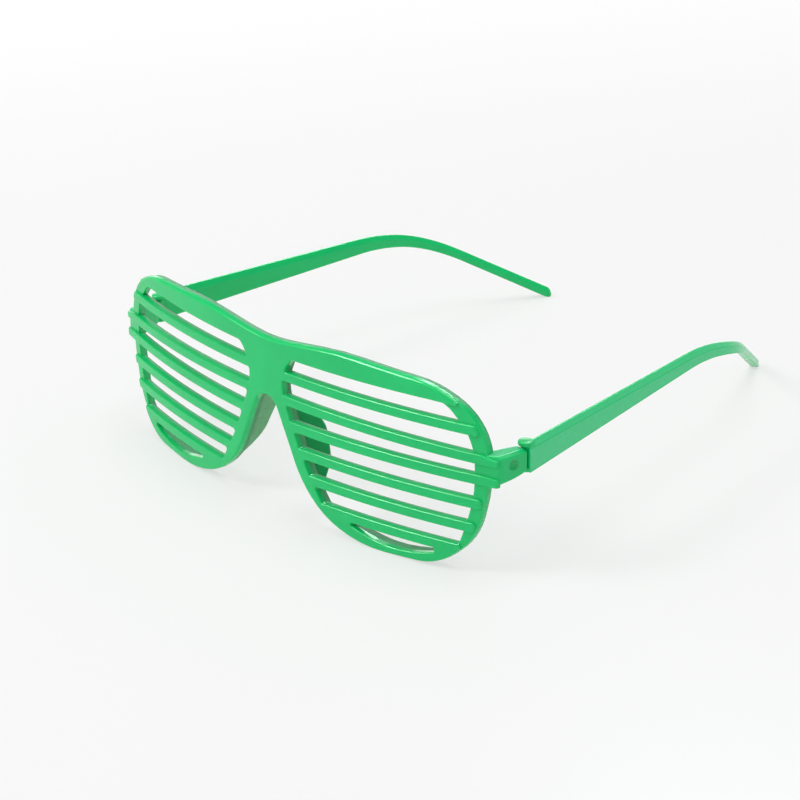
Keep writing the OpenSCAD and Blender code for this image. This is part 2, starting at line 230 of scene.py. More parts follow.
class GlassesColours(bpy.types.PropertyGroup):
    """Colours of the plastic and of the stage"""

    plastic: bpy.props.FloatVectorProperty(
        name="Plastic", description="Colour of the moulded plastic", subtype="COLOR",
        size=3, min=0, max=1, default=(0.003, 0.530, 0.150))
    # Painted highlight: a brighter green painted on the rounded front edges, where light catches
    # them
    edge_highlight: bpy.props.FloatVectorProperty(
        name="Edge highlight", description="Colour painted on the rounded front edges as a highlight",
        subtype="COLOR", size=3, min=0, max=1, default=(0.002, 0.560, 0.140))
    # The matt finish behind the parting line is real; this darker, greyer colour on it is painted
    # shade and painted sheen
    matt: bpy.props.FloatVectorProperty(
        name="Matt sides", description="Colour of the matt sides behind the parting line",
        subtype="COLOR", size=3, min=0, max=1, default=(0.060, 0.310, 0.130))
    # Painted sheen: a lighter, greyer green painted on the temples' outer faces and bevels and on
    # the lugs' tops, by the way they face the light
    satin: bpy.props.FloatVectorProperty(
        name="Painted sheen faces", description="Colour of the temples' outer faces and the lugs' tops",
        subtype="COLOR", size=3, min=0, max=1, default=(0.050, 0.620, 0.250))
    # Dark colour of the specks of dirt; along the back edges it is painted shade, and it also
    # darkens a ring round the dimple
    grime: bpy.props.FloatVectorProperty(
        name="Dirt and shade", description="Colour of the grime along the back edges", subtype="COLOR",
        size=3, min=0, max=1, default=(0.055, 0.070, 0.040))
    pad: bpy.props.FloatVectorProperty(
        name="Pads", description="Colour of the pads' matt faces", subtype="COLOR",
        size=3, min=0, max=1, default=(0.120, 0.390, 0.170))
    # Painted shade: a darker green for the pads' outer sides, which lie in shade
    pad_shade: bpy.props.FloatVectorProperty(
        name="Pads' outer sides", description="Colour of the pads away from the nose",
        subtype="COLOR", size=3, min=0, max=1, default=(0.003, 0.300, 0.085))
    floor: bpy.props.FloatVectorProperty(
        name="Floor", description="Colour of the pale glossy ground", subtype="COLOR",
        size=3, min=0, max=1, default=(0.85, 0.86, 0.85))


# ---------------------------------------------------------------- outlines


def unit(v):
    return v.normalized()


def fillet(a, b, c, radius, step=math.radians(6)):
    """Points of the arc that rounds corner b between its neighbours a and c"""
    if radius <= 0:
        return [b]
    u, v = unit(a - b), unit(c - b)
    cross = u.x * v.y - u.y * v.x
    angle = u.angle(v)
    if angle > math.pi - 1e-3:
        return [b]
    centre = b + unit(u + v) * radius / math.sin(angle / 2)
    start = b + u * radius / math.tan(angle / 2) - centre
    sweep = -math.copysign(math.pi - angle, cross)
    n = max(2, math.ceil(abs(sweep) / step))
    return [centre + Matrix.Rotation(sweep * i / n, 2) @ start for i in range(n + 1)]


def rounded(corners):
    """Closed outline through corners of (x, y, radius), in metres, with each corner rounded"""
    pts = [Vector(c[:2]) for c in corners]
    n = len(pts)
    out = []
    for i in range(n):
        out += fillet(pts[i - 1], pts[i], pts[(i + 1) % n], corners[i][2])
    return clean(out)


def clean(loop, gap=1e-6):
    """The loop without points that repeat"""
    return [p for i, p in enumerate(loop) if (p - loop[i - 1]).length > gap]


def scaled(corners):
    """Corners in metres from corners in millimetres"""
    return [tuple(v * MM for v in c) for c in corners]


def area(loop):
    return sum(a.x * b.y - a.y * b.x for a, b in zip(loop, loop[1:] + loop[:1])) / 2


def turned(loop, solid=True):
    """The loop with its material on the left: anticlockwise, or clockwise for a hole"""
    return loop if (area(loop) > 0) == solid else loop[::-1]


def inset(loop, by):
    """The loop moved into its material, which lies on its left, by one length or one a point"""
    out = []
    for i, p in enumerate(loop):
        a, c = unit(p - loop[i - 1]), unit(loop[(i + 1) % len(loop)] - p)
        n1, n2 = Vector((-a.y, a.x)), Vector((-c.y, c.x))
        far = by[i] if isinstance(by, list) else by
        out.append(p + (n1 + n2) * far / max(1 + n1.dot(n2), 0.3))
    return out


def mirrored(loop):
    """The loop on the other side of the middle"""
    return [Vector((-p.x, p.y)) for p in loop]


def crossing(loop, height, low_x, high_x):
    """x and index where the loop meets the line z = height(x), between two limits"""
    for i, b in enumerate(loop):
        a = loop[i - 1]
        fa, fb = a.y - height(a.x), b.y - height(b.x)
        if fa * fb <= 0 and fa != fb:
            x = a.x + (b.x - a.x) * fa / (fa - fb)
            if low_x <= x <= high_x:
                return x, i
    raise ValueError("an outline doesn't meet a slat's edge")


# ------------------------------------------------------------------ meshes


def bow(p, x):
    """How far the front's face lies behind its middle at x"""
    return p.bow_r - math.sqrt(p.bow_r ** 2 - x * x)


def bow_back(p, x):
    """How far the back of the rims lies behind the face's middle at x"""
    return p.front_t + p.back_bow_r - math.sqrt(p.back_bow_r ** 2 - x * x)


def wall(p, front, back, edge, back_edge=0.2 * MM):
    """Rings of a moulded side from its rounded front edge over the parting line to its back.

    A ring is (inset of the rounding, its depth, depth, lean, edge mark of a painted highlight,
    matt mark of the matt finish with its painted shade and sheen, mark of painted shade along the
    back edge).
    """
    rings = []
    for i in range(5):
        t = math.pi / 2 * i / 4
        # The middle of the front rounding carries the edge mark, where a highlight is painted
        rings.append((edge * (1 - math.sin(t)), edge * (1 - math.cos(t)), front,
                      max(0, p.parting - front) * math.tan(p.draft), float(i in (1, 2, 3)), 0, 0))
    rings.append((0, 0, p.parting - 0.02 * MM, 0, 0, 0, 0))
    rings.append((0, 0, p.parting + 0.02 * MM, 0.03 * MM, 0, 1, 0))
    lean = 0.03 * MM + (back - p.parting) * math.tan(2 * p.draft)
    rings.append((0, 0, back - 2 * back_edge, lean * 0.8, 0, 1, 0))
    # The rounded back edge carries painted shade
    for i in range(3):
        t = math.pi / 2 * i / 2
        rings.append((back_edge * (1 - math.cos(t)), 0, back - back_edge * (1 - math.sin(t)),
                      lean, 0, 1, 1))
    return rings


def plate(loops, rings, slices, widen=None):
    """A flat plate in X and Z, closed, from loops with the material on their left.

    rings come from wall(), slices are the x values where the faces are cut so that they can
    bend, and widen(point) says how many times wider the front edge's rounding is there.
    """
    bm = bmesh.new()
    marks = [bm.loops.layers.float.new(name) for name in MARKS]
    skins = []
    for by, fall, depth, lean, *values in rings:
        skins.append([])
        for loop in loops:
            ring = []
            wide = [widen(q) if widen else 1 for q in loop]
            for q, k in zip(inset(loop, [by * k + lean for k in wide]), wide):
                ring.append(bm.verts.new((q.x, depth + fall * k, q.y)))
            skins[-1].append(ring)
    for k, (upper, lower) in enumerate(zip(skins, skins[1:])):
        values = [rings[k][4:]] * 2 + [rings[k + 1][4:]] * 2
        for a, b in zip(upper, lower):
            n = len(a)
            for i in range(n):
                j = (i + 1) % n
                set_marks(bm.faces.new((a[i], a[j], b[j], b[i])), marks, values)
    for k, front in ((0, True), (len(skins) - 1, False)):
        verts = [v for ring in skins[k] for v in ring]
        edges, at = [], 0
        for ring in skins[k]:
            edges += [(at + i, at + (i + 1) % len(ring)) for i in range(len(ring))]
            at += len(ring)
        flat = [Vector((v.co.x, v.co.z)) for v in verts]
        found = delaunay_2d_cdt(flat, edges, [], 0, 1e-9)
        loops_now = [[flat[i] for i in range(s, s + len(r))]
                     for s, r in zip(starts(skins[k]), skins[k])]
        crossings = [c / MM for c, own in zip(found[0], found[3]) if not own]
        if crossings:
            raise ValueError(f"the outlines of a plate cross at {crossings[:6]}")
        for tri in found[2]:
            own = [found[3][i][0] for i in tri]
            middle = sum((flat[i] for i in own), Vector((0, 0))) / 3
            if inside(middle, loops_now):
                face = [verts[i] for i in own]
                if front:
                    bm.faces.new(face)
                else:
                    set_marks(bm.faces.new(face[::-1]), marks, [BACK_MARKS] * 3)
    for x in slices:
        everything = bm.verts[:] + bm.edges[:] + bm.faces[:]
        bmesh.ops.bisect_plane(bm, geom=everything, dist=1e-8, plane_co=(x, 0, 0),
                               plane_no=(1, 0, 0))
    return bm


def set_marks(face, marks, values):
    """Writes the marks of a face, corner by corner"""
    for corner, value in zip(face.loops, values):
        for mark, v in zip(marks, value):
            corner[mark] = v


def fade_mark(bm, name, share):
    """Weakens a mark by share(point)"""
    mark = bm.loops.layers.float[name]
    for face in bm.faces:
        for corner in face.loops:
            corner[mark] *= share(corner.vert.co)


def starts(rings):
    """Index of each ring's first point, with all rings in one list"""
    out, at = [], 0
    for ring in rings:
        out.append(at)
        at += len(ring)
    return out


def inside(p, loops):
    """Whether a point lies in the material: inside an odd number of loops"""
    count = 0
    for loop in loops:
        for i, b in enumerate(loop):
            a = loop[i - 1]
            if (a.y > p.y) != (b.y > p.y) and p.x < a.x + (b.x - a.x) * (p.y - a.y) / (b.y - a.y):
                count += 1
    return count % 2 == 1


def loft(bm, sections, caps=True):
    """Joins closed sections of equally many points into a skin, and caps its ends"""
    rings = [[bm.verts.new(p) for p in s] for s in sections]
    n = len(rings[0])
    for a, b in zip(rings, rings[1:]):
        for i in range(n):
            j = (i + 1) % n
            bm.faces.new((a[i], b[i], b[j], a[j]))
    if caps:
        for ring, flip in ((rings[0], False), (rings[-1], True)):
            centre = bm.verts.new(sum((v.co for v in ring), Vector()) / n)
            for i in range(n):
                face = (ring[i], ring[(i + 1) % n], centre)
                bm.faces.new(face[::-1] if flip else face)


def disc(bm, centre, radius, z0, z1, soft, n=48, hole=0):
    """A round boss on an upright axis with softened rims, or a ring when it has a hole"""
    steps = [math.pi / 2 * i / 3 for i in range(4)]
    outer = [(radius - soft * (1 - math.sin(t)), z0 + soft * (1 - math.cos(t))) for t in steps]
    outer += [(radius - soft * (1 - math.cos(t)), z1 - soft * (1 - math.sin(t))) for t in steps]
    profile = outer + [(hole, z1), (hole, z0)] if hole else outer
    turns = [2 * math.pi * i / n for i in range(n)]
    rings = [[(centre[0] + r * math.cos(t), centre[1] + r * math.sin(t), z) for t in turns]
             for r, z in profile]
    if hole:
        rings.append(rings[0])
    start = len(bm.verts)
    loft(bm, rings, caps=not hole)
    if hole:
        bm.verts.ensure_lookup_table()
        bmesh.ops.remove_doubles(bm, verts=bm.verts[start:], dist=1e-8)


def finish_piece(name, bm, material, body, nodes):
    """Stands the upright mesh on the floor, as an object that rides on its body"""
    bmesh.ops.recalc_face_normals(bm, faces=bm.faces[:])
    bm.transform(STAND)
    for v in bm.verts:
        v.co.z = max(v.co.z, 0)
    mesh = bpy.data.meshes.new(name)
    bm.to_mesh(mesh)
    bm.free()
    mesh.polygons.foreach_set("use_smooth", [True] * len(mesh.polygons))
    mesh.materials.append(material)
    piece = bpy.data.objects.new(name, mesh)
    bpy.context.scene.collection.objects.link(piece)
    even = piece.modifiers.new("Even shading", "WEIGHTED_NORMAL")
    even.weight = 50
    even.keep_sharp = False
    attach(piece, body)
    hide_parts(*nodes)
    return piece


# --------------------------------------------------------------- materials


def node(tree, kind, **settings):
    """A new shader node; settings that start with _ are its own, the others its sockets'"""
    made = tree.nodes.new(kind)
    for key, value in settings.items():
        if key.startswith("_"):
            setattr(made, key[1:], value)
        else:
            made.inputs[key].default_value = value
    return made


def noise(tree, coords, scale, detail):
    """Smooth noise at the given coordinates"""
    made = node(tree, "ShaderNodeTexNoise", Scale=scale, Detail=detail)
    tree.links.new(coords, made.inputs["Vector"])
    return made.outputs["Fac"]


def remap(tree, value, low, high, to_low, to_high):
    """Stretches a value from one range to another, and holds it there"""
    made = node(tree, "ShaderNodeMapRange")
    tree.links.new(value, made.inputs["Value"])
    for key, v in (("From Min", low), ("From Max", high), ("To Min", to_low), ("To Max", to_high)):
        made.inputs[key].default_value = v
    return made.outputs["Result"]


def blend(tree, factor, a, b):
    """Mixes two colours, each a socket or a plain value"""
    made = node(tree, "ShaderNodeMix", _data_type="RGBA")
    tree.links.new(factor, made.inputs["Factor"])
    for socket, value in ((made.inputs[6], a), (made.inputs[7], b)):
        if isinstance(value, bpy.types.NodeSocket):
            tree.links.new(value, socket)
        else:
            socket.default_value = value
    return made.outputs[2]


def colour(rgb, gain=1.0):
    """A colour with full opacity, made lighter or darker by gain"""
    return tuple(min(1.0, c * gain) for c in rgb) + (1.0,)


def moulded_plastic(name, base, edge, roughness, grain, specks):
    """Moulded plastic: glossy in front of the parting line, matt behind it, with painted light in
    its colours.

    The marks on the meshes say where a painted edge highlight goes, where the matt finish takes a
    colour of painted shade and sheen, where a painted sheen lies by the way a face is turned, and
    where painted shade darkens the back edges and a darker ring rings the dimple.
    roughness is its lowest and highest value, grain the fine texture's scale and strength, and
    specks the scale, the size and the spread of the dark dots.
    """
    found = bpy.data.materials.get(name)
    if found:
        return found
    c = bpy.context.scene.glasses_colours
    material = bpy.data.materials.new(name)
    material.use_nodes = True
    tree = material.node_tree
    shader = tree.nodes["Principled BSDF"]
    coords = node(tree, "ShaderNodeTexCoord").outputs["Object"]
    drift = remap(tree, noise(tree, coords, 55, 2.0), 0.3, 0.7, 0, 1)
    body = blend(tree, drift, colour(base, 0.95), colour(base, 1.05))
    # Painted highlight: the edge colour is painted along the rounded front edges
    body = blend(tree, marked(tree, coords, "edge", 260, 0.9), body, colour(edge))
    # Matt finish behind the parting line: the colour it takes is painted shade and sheen, the
    # extra roughness below is real
    matt = marked(tree, coords, "matt", 900, 0.88)
    body = blend(tree, matt, body, colour(c.matt))
    # Painted sheen on faces turned towards the light
    body = blend(tree, marked(tree, coords, "satin", 700, 0.85), body, colour(c.satin))
    cells = node(tree, "ShaderNodeTexVoronoi", Scale=specks[0], _feature="F1")
    tree.links.new(coords, cells.inputs["Vector"])
    dots = remap(tree, cells.outputs["Distance"], specks[1] * 0.6, specks[1], 1, 0)
    chosen = remap(tree, noise(tree, coords, specks[2], 2.0), 0.56, 0.62, 0, 1)
    body = blend(tree, times(tree, dots, chosen), body, colour(c.grime))
    # Painted shade along the back edges, and a darker ring round the dimple
    body = blend(tree, marked(tree, coords, "grime", 420, 0.0), body, colour(c.grime))
    tree.links.new(body, shader.inputs["Base Color"])
    gloss = remap(tree, noise(tree, coords, 240, 3.0), 0.3, 0.7, roughness[0], roughness[1])
    rough = node(tree, "ShaderNodeMath", _operation="ADD", _use_clamp=True)
    tree.links.new(gloss, rough.inputs[0])
    tree.links.new(remap(tree, matt, 0, 1, 0, 0.4), rough.inputs[1])
    tree.links.new(rough.outputs[0], shader.inputs["Roughness"])
    bump = node(tree, "ShaderNodeBump", Strength=grain[1], Distance=0.1 * MM)
    tree.links.new(noise(tree, coords, grain[0], 3.0), bump.inputs["Height"])
    tree.links.new(bump.outputs["Normal"], shader.inputs["Normal"])
    shader.inputs["IOR"].default_value = 1.41
    shader.inputs["Subsurface Weight"].default_value = 0.2
    shader.inputs["Subsurface Scale"].default_value = 1.2 * MM
    shader.inputs["Subsurface Radius"].default_value = (0.3, 1.0, 0.4)
    return material


def marked(tree, coords, name, scale, least):
    """A mark from the mesh, broken up a little by noise"""
    mark = node(tree, "ShaderNodeAttribute", _attribute_name=name).outputs["Fac"]
    return times(tree, mark, remap(tree, noise(tree, coords, scale, 3.0), 0.36, 0.62, least, 1))


def times(tree, a, b):
    """The product of two values"""
    made = node(tree, "ShaderNodeMath", _operation="MULTIPLY")
    tree.links.new(a, made.inputs[0])
    tree.links.new(b, made.inputs[1])
    return made.outputs[0]


def green_plastic():
    c = bpy.context.scene.glasses_colours
    return moulded_plastic("Moulded green plastic", c.plastic, c.edge_highlight,
                           (0.20, 0.25), (160, 0.02), (330, 0.04, 60))


# Painted shade: darker plastic for the pads' outer sides
def pad_shade_plastic():
    c = bpy.context.scene.glasses_colours
    return moulded_plastic("Pad plastic with painted shade", c.pad_shade, c.pad_shade,
                           (0.20, 0.25), (160, 0.02), (330, 0.04, 60))


def pad_plastic():
    c = bpy.context.scene.glasses_colours
    return moulded_plastic("Textured pad plastic", c.pad, c.pad,
                           (0.5, 0.65), (2600, 0.4), (1150, 0.3, 300))


# --------------------------------------------------------------- operators


def slat_line(p, n, lower=False):
    """Height of slat n's upper or lower edge as a function of x"""
    rise = SLAT_RISE if n > len(UPPER_SLAT_RISES) else UPPER_SLAT_RISES[n - 1]
    at = p.slat_top_z - (n - 1) * p.slat_pitch - (p.slat_h if lower else 0)
    return lambda x: at + rise * (x - SLAT_X0)


def face_outline(p):
    """Half the outline of the front's face, clockwise from the brow, with the slots cut in"""
    outer = half_outline()
    eye = rounded(scaled(EYE_CORNERS))
    tip_x, tip_i = crossing(outer, lambda x: RECESS_TOP_Z, *OUTER_SIDE)
    path = [(q.x, q.y, 0) for q in outer[:tip_i] if q.x < tip_x - 1.5 * MM]
    path += [(tip_x - 0.2 * MM, RECESS_TOP_Z, 0.6 * MM), (56 * MM, RECESS_TOP_Z + 0.1 * MM, 0)]
    upper = lambda x: TOP_SLOT_Z + (x - TOP_SLOT_X0) * TOP_SLOT_RISE
    end = LUG_SLAT_END
    for n in range(1, SLAT_COUNT + 1):
        low = slat_line(p, n)
        a, b = (crossing(eye, f, *INNER_SIDE)[0] for f in (upper, low))
        c = crossing(eye, lambda x: (upper(x) + low(x)) / 2, *INNER_SIDE)[0]
        path += [(a, upper(a), (1.7 if n == 1 else 0.5) * MM),
                 (c, (upper(c) + low(c)) / 2, 8 * MM),
                 (b, low(b), 0.35 * MM)]
        upper = slat_line(p, n, lower=True)
        if n in LUG_SLATS:
            drop = 1.0 * MM if n == LUG_SLATS[0] else 0.3 * MM
            path += [(70.5 * MM, low(70.5 * MM), 4 * MM), (end, low(end) - drop, 0.6 * MM),
                     (end, upper(end), 0.6 * MM)]
        else:
            ends = [crossing(outer, f, *OUTER_SIDE)[0] - 0.35 * MM for f in (low, upper)]
            path.append((ends[0], low(ends[0]), 0.9 * MM))
            if n < SLAT_COUNT:
                path.append((ends[1], upper(ends[1]), 0.9 * MM))
    foot = crossing(outer, low, *OUTER_SIDE)[1]
    path += [(q.x, q.y, 0) for q in outer[foot:] if q.y < low(q.x) - 1.6 * MM or q.x < 50 * MM]
    return rounded_run(path)


def rounded_run(corners, step=math.radians(6)):
    """As rounded(), for an open run of corners"""
    pts = [Vector(c[:2]) for c in corners]
    out = [pts[0]]
    for i in range(1, len(pts) - 1):
        out += fillet(pts[i - 1], pts[i], pts[i + 1], corners[i][2], step)
    return out + [pts[-1]]


def half_outline():
    """The front's outline on the left, clockwise from the middle of the brow to the arch"""
    corners = [BROW_CORNER, *OUTER_CORNERS] + [(-x, z, r) for x, z, r in reversed(OUTER_CORNERS)]
    loop = rounded(scaled(corners))
    i = next(i for i, q in enumerate(loop) if q.x > 1e-6 and loop[i - 1].x <= 1e-6)
    loop = loop[i:] + loop[:i]
    run = [q for q in loop if q.x > 1e-6]
    return [on_middle(loop[-1], run[0]), *run, on_middle(run[-1], loop[len(run)])]


def on_middle(a, b):
    """The point at x = 0 on the line through two points"""
    if abs(b.x - a.x) < 1e-9:
        return Vector((0, a.y))
    return Vector((0, a.y - a.x * (b.y - a.y) / (b.x - a.x)))


def both_sides(run):
    """Closes a run that starts and ends on the middle with its own mirror image"""
    other = [q for q in mirrored(run)[::-1] if abs(q.x) > 1e-6]
    return clean(run + other)


def crescent(p):
    """The lowest slot: the part of the eye's opening below the last slat"""
    low = slat_line(p, SLAT_COUNT, lower=True)
    x0, x1 = 30.8 * MM, 56.9 * MM
    lip = lip_line(p)
    arc = [(q.x, q.y, 0) for q in lip if x0 + 0.3 * MM < q.x < x1 - 0.6 * MM]
    return rounded([(x0, low(x0), 0.1 * MM), (x0, height_at(lip, x0), 0.1 * MM), *arc,
                    (x1, height_at(lip, x1), 0.35 * MM), (x1, low(x1), 0.2 * MM)])


def lip_line(p):
    """The eye's lower edge below the last slat, from the nose outwards"""
    low = slat_line(p, SLAT_COUNT, lower=True)
    eye = rounded(scaled(EYE_CORNERS))
    return sorted((q for q in eye if q.y < low(q.x) and q.x > 20 * MM), key=lambda q: q.x)


def lift_lip(p, bm):
    """Raises the back of the wall below the lowest slot, so that it shows from the front"""
    low = slat_line(p, SLAT_COUNT, lower=True)
    lip = lip_line(p)
    lift, near, full_room = 0.8 * MM, 0.75 * MM, 2.4 * MM
    for v in bm.verts:
        x, d, z = abs(v.co.x), v.co.y, v.co.z
        if d > p.parting + 0.01 * MM and lip[0].x < x < lip[-1].x:
            edge = height_at(lip, x)
            if abs(z - edge) < near:
                room = min(1, (low(x) - edge) / full_room)
                v.co.z += room * lift * (d - p.parting) / (p.front_t - p.parting)


def bend_face(p, bm, eye_side):
    """Bends the flat face plate to the bow, and thins it where the rim lies behind it"""
    for v in bm.verts:
        x, d, z = v.co
        if d > p.slat_t / 2 and abs(x) > eye_side(z):
            d = p.band_drop + 0.3 * MM
        v.co.y = bow(p, x) + d


def bend_rim(p, bm):
    """Bends the flat rim plate: its front to the face's bow, its back to the back's"""
    for v in bm.verts:
        x, d = v.co.x, v.co.y
        if d > p.parting + 0.1 * MM:
            v.co.y = bow_back(p, x) - (p.front_t - d)
        else:
            v.co.y = bow(p, x) + d


def x_slices(reach, step):
    """Evenly spaced x values on both sides of the middle"""
    n = int(reach / step)
    return [i * step for i in range(-n, n + 1)]


class GLASSES_OT_front_face(bpy.types.Operator):
    """Build the bowed face of the front with its slats"""

    bl_idname = "glasses.front_face"
    bl_label = "Front Face and Slats"

    def execute(self, context):
        p = context.scene.glasses_front
        face = turned(both_sides(face_outline(p)))
        hole = crescent(p)
        loops = [face, turned(hole, solid=False), turned(mirrored(hole), solid=False)]
        outside = {(round(q.x, 7), round(q.y, 7)) for q in half_outline()}
        brow_low_z, nose_x, nose_top_z = 46.3 * MM, 20 * MM, 40 * MM

        def widen(q):
            if (round(abs(q.x), 7), round(q.y, 7)) not in outside:
                return 1
            brow = min(1, max(0, (q.y - brow_low_z) / (1.5 * MM)))
            nose = min(1, max(0, (nose_x - abs(q.x)) / (6 * MM))) if q.y < nose_top_z else 0
            return 1 + (p.brow_edge - 1) * max(brow, 0.6 * nose)

        bm = plate(loops, wall(p, 0, p.slat_t, p.edge_r), x_slices(LUG_SLAT_END, SLICE), widen)
        eye = rounded(scaled(EYE_CORNERS))
        outer_side = [q for q in eye if q.x > OUTER_SIDE[0]]

        def eye_side(z):
            near = min(outer_side, key=lambda q: abs(q.y - z))
            return near.x + 0.7 * MM

        lift_lip(p, bm)
        bend_face(p, bm, eye_side)
        nodes = [f"slat_{side}_{n}" for side in SIDES for n in range(1, SLAT_COUNT + 1)]
        finish_piece("front_face", bm, green_plastic(), "front", nodes)
        return {"FINISHED"}


class GLASSES_OT_front_rim(bpy.types.Operator):
    """Build the rims and bridge behind the face, with their recessed outer bands"""

    bl_idname = "glasses.front_rim"
    bl_label = "Rims and Bridge"

    def execute(self, context):
        p = context.scene.glasses_front
        outer = turned(inset(turned(both_sides(half_outline())), 0.02 * MM))
        eye = rounded(scaled(EYE_CORNERS))
        holes = [turned(eye, solid=False), turned(mirrored(eye), solid=False)]
        rings = wall(p, p.band_drop, p.front_t, 0.3 * MM, 0.3 * MM)
        bm = plate([outer, *holes], rings, x_slices(LUG_SLAT_END, SLICE))
        fade_mark(bm, "matt", matt_share)
        lift_lip(p, bm)
        bend_rim(p, bm)
        finish_piece("front_rim", bm, green_plastic(), "front", ["front_frame"])
        return {"FINISHED"}


def matt_share(at):
    """The rims' sides are matt along the brow, round the nose and low down, and else glossy; there
    their colour takes the matt finish's painted shade and sheen
    """
    brow = (at.z - 44 * MM) / (4 * MM)
    nose = (28 * MM - abs(at.x)) / (6 * MM)
    below = (10 * MM - at.z) / (2 * MM)
    return min(1, max(brow, nose, below, 0.12))


class GLASSES_OT_nose_pads(bpy.types.Operator):
    """Build the two flared nose pads, textured where they meet the nose, with painted shade on
    their outer sides
    """

    bl_idname = "glasses.nose_pads"
    bl_label = "Nose Pads"

    def execute(self, context):
        front = context.scene.glasses_front
        hinge = context.scene.glasses_hinge
        outer = half_outline()
        profile = rounded(scaled(PAD_CORNERS))
        flare = hinge.pad_flare
        slant = math.radians(27)
        width = hinge.pad_t / math.cos(slant)
        for side, sign in SIDES.items():
            bm = bmesh.new()
            sections = []
            for z in pad_heights(profile, 60):
                far = max(q.x for q in level_points(profile, z))
                x0 = crossing(outer, lambda x: z, 1 * MM, 30 * MM)[0]
                root = bow_back(front, x0) - 0.5 * MM
                ends = [(y - front.front_t + x0 * math.sin(flare)) / math.cos(flare)
                        for y in (root, max(far, root + 0.05 * MM))]
                sections.append([
                    Vector((sign * (0.3 * MM + q.x * math.cos(flare) + q.y * math.sin(flare)),
                            front.front_t - q.x * math.sin(flare) + q.y * math.cos(flare), z))
                    for q in strip_section(x0, width, *ends)])
            loft(bm, sections)
            bmesh.ops.recalc_face_normals(bm, faces=bm.faces[:])
            for face in bm.faces:
                # Faces turned away from the nose take the darker plastic of painted shade
                face.material_index = int(sign * face.normal.x > 0.3)
            piece = finish_piece(f"{side}_nose_pad", bm, pad_plastic(), "front",
                                 [f"nose_pad_{side}"])
            piece.data.materials.append(pad_shade_plastic())
        return {"FINISHED"}


def pad_heights(profile, n):
    """Heights up a pad, closer together at its rounded ends"""
    low, high = (f(q.y for q in profile if q.x > 3.2 * MM) for f in (min, max))
    return [low + (high - low) * (1 - math.cos(math.pi * i / n)) / 2 for i in range(n + 1)]


def level_points(loop, z):
    """Where a closed loop crosses height z"""
    out = []
    for i, b in enumerate(loop):
        a = loop[i - 1]
        if (a.y - z) * (b.y - z) <= 0 and a.y != b.y:
            out.append(a + (b - a) * (z - a.y) / (b.y - a.y))
    return out


def strip_section(x0, width, y0, y1):
    """A flat strip's section between two depths: square at its root, rounded at its free edge"""
    r = min(width * 0.49, (y1 - y0) * 0.9)
    arc = [Vector((x0 + width / 2 * (1 - math.cos(t)), y1 - r + r * math.sin(t)))
           for t in (math.pi * i / 12 for i in range(13))]
    side = [i / 8 for i in range(8)]
    inner = [Vector((x0, y0 + (y1 - r - y0) * s)) for s in side]
    outer = [Vector((x0 + width, y0 + (y1 - r - y0) * s)) for s in reversed(side)]
    return inner + arc + outer


class GLASSES_OT_hinge_lugs(bpy.types.Operator):
    """Build the two lugs behind the front, with their dimples and hinge knuckles"""

    bl_idname = "glasses.hinge_lugs"
    bl_label = "Hinge Lugs"

    def execute(self, context):
        h = context.scene.glasses_hinge
        for side, sign in SIDES.items():
            bm = bmesh.new()
            sections = lug_sections(h, context.scene.glasses_front)
            loft(bm, [[Vector((sign * q.x, q.y, q.z)) for q in s] for s in sections])
            mark_dimple(bm, h, sign)
            # Painted sheen on the lug's top face
            mark_satin(bm, lambda normal: float(normal.z > 0.9))
            knuckle_z = h.lug_z1 - h.knuckle_h
            disc(bm, (sign * h.hinge_x, h.hinge_y), h.knuckle_r, knuckle_z, h.lug_z1 - 0.02 * MM,
                 0.12 * MM, hole=PEG_HOLE_R)
            finish_piece(f"{side}_lug", bm, green_plastic(), "front",
                         [f"hinge_lug_{side}"])
        return {"FINISHED"}


def lug_sections(h, front):
    """Rounded-box sections of the left lug, from its bowed front to its rear end"""
    corner, soft, long = 0.9 * MM, 0.35 * MM, 9 * MM
    steps = [1 - math.cos(math.pi / 2 * i / 6) for i in range(7)]
    shares = [corner / long * t for t in steps]
    shares += [shares[-1] + (1 - soft / long - shares[-1]) * i / 54 for i in range(1, 55)]
    shares += [1 - soft / long * (1 - math.sin(math.pi / 2 * i / 4)) for i in range(1, 5)]
    sections = []
    for s in shares:
        near = max(0.0, 1 - (1 - s) * long / soft)
        shrink = soft * (1 - math.sqrt(1 - near * near))
        begun = min(1, s * long / corner)
        turn = corner * (1 - math.sqrt(1 - (1 - begun) ** 2))
        begun = min(1, s * long / soft)
        shrink = max(shrink, soft * (1 - math.sqrt(1 - (1 - begun) ** 2)))
        neck = max(0.0, (s - 0.35) / 0.65)
        x0 = LUG_ROOT_X + (h.hinge_x - 1.7 * MM - LUG_ROOT_X) * neck
        x1 = h.lug_x - 0.7 * MM * (1 - s) - max(0, turn - shrink)
        z0 = h.lug_z0 + 1.3 * MM * max(0.0, s) ** 2
        points = block_section(x0, x1, z0, h.lug_z1, shrink)
        run = []
        for q in points:
            start = bow(front, q.x) + front.band_drop - 0.02 * MM
            y = start + (h.lug_end_y - start) * s
            run.append(Vector((q.x - dimple(h, y, q), y, q.y)))
        sections.append(run)
    return sections


